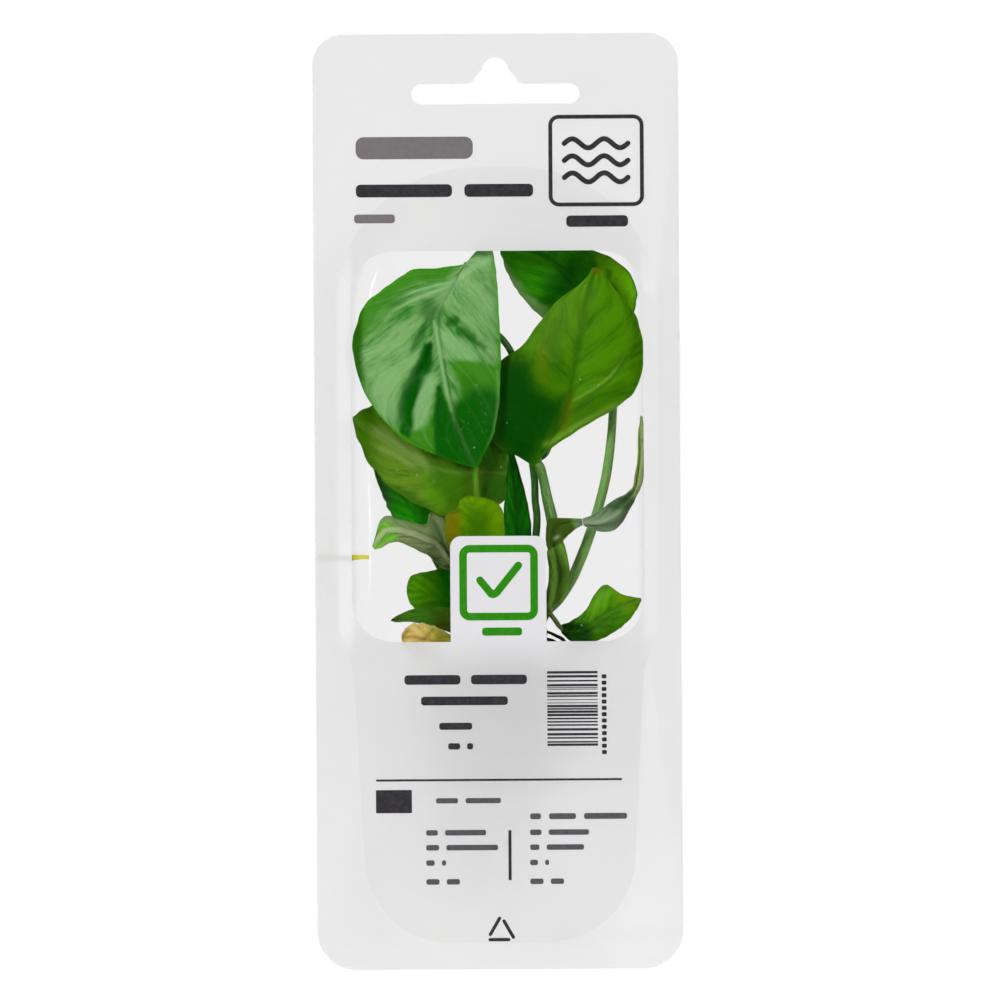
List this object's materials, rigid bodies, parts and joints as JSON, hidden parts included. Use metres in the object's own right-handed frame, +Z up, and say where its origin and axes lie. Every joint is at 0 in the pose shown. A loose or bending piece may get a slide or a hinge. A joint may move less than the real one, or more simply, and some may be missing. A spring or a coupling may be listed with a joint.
{
  "type": "potted aquarium plant in hang pack",
  "caption": "Broad-leaved water plant in a net pot, packed in a clear deep tray with a windowed white front sheet and a hang slot.",
  "frame": {"origin": "top of the hang slot's peg notch, on the plane where the front film meets the tray's flange", "axes": "+Z up along the pack's length, front of the pack towards -Y, +Y through its depth to the tray's back, +X to the right seen from the front"},
  "size_m": [0.12, 0.0564, 0.307],
  "materials": {
    "clear_plastic": "gloss",
    "printed_film": "satin",
    "pot_plastic": "satin",
    "wool": "matte",
    "rhizome": "matte",
    "root": "satin",
    "leaf_mid_green": "gloss",
    "leaf_dark_green": "gloss",
    "leaf_olive": "satin",
    "leaf_underside": "satin",
    "leaf_young": "satin",
    "leaf_old": "matte",
    "stalk": "satin"
  },
  "bodies": {
    "root": {"tray": "clear_plastic", "front_film": "clear_plastic", "printed_sheet": "printed_film", "net_pot": "pot_plastic", "growing_wool": "wool", "rhizome": "rhizome", "root_1": "root", "root_2": "root", "root_3": "root", "root_4": "root", "root_5": "root", "root_6": "root", "root_clamped": "root", "leaf_front_left": "leaf_mid_green", "leaf_right": "leaf_olive", "leaf_upper_right": "leaf_dark_green", "leaf_middle_left": "leaf_olive", "leaf_behind_left": "leaf_dark_green", "leaf_curled": "leaf_underside", "leaf_young": "leaf_young", "leaf_narrow": "leaf_dark_green", "leaf_low_left": "leaf_dark_green", "leaf_low_dark": "leaf_dark_green", "leaf_old": "leaf_old", "leaf_twisted": "leaf_underside", "sheath_twisted": "leaf_olive", "leaf_low_right": "leaf_mid_green", "stalk_front_left": "stalk", "stalk_right": "stalk", "stalk_upper_right": "stalk", "stalk_middle_left": "stalk", "stalk_behind_left": "stalk", "stalk_curled": "stalk", "stalk_young": "stalk", "stalk_narrow": "stalk", "stalk_low_left": "stalk", "stalk_low_dark": "stalk", "stalk_old": "stalk", "stalk_twisted": "stalk", "stalk_low_right": "stalk"}
  },
  "joints": []
}
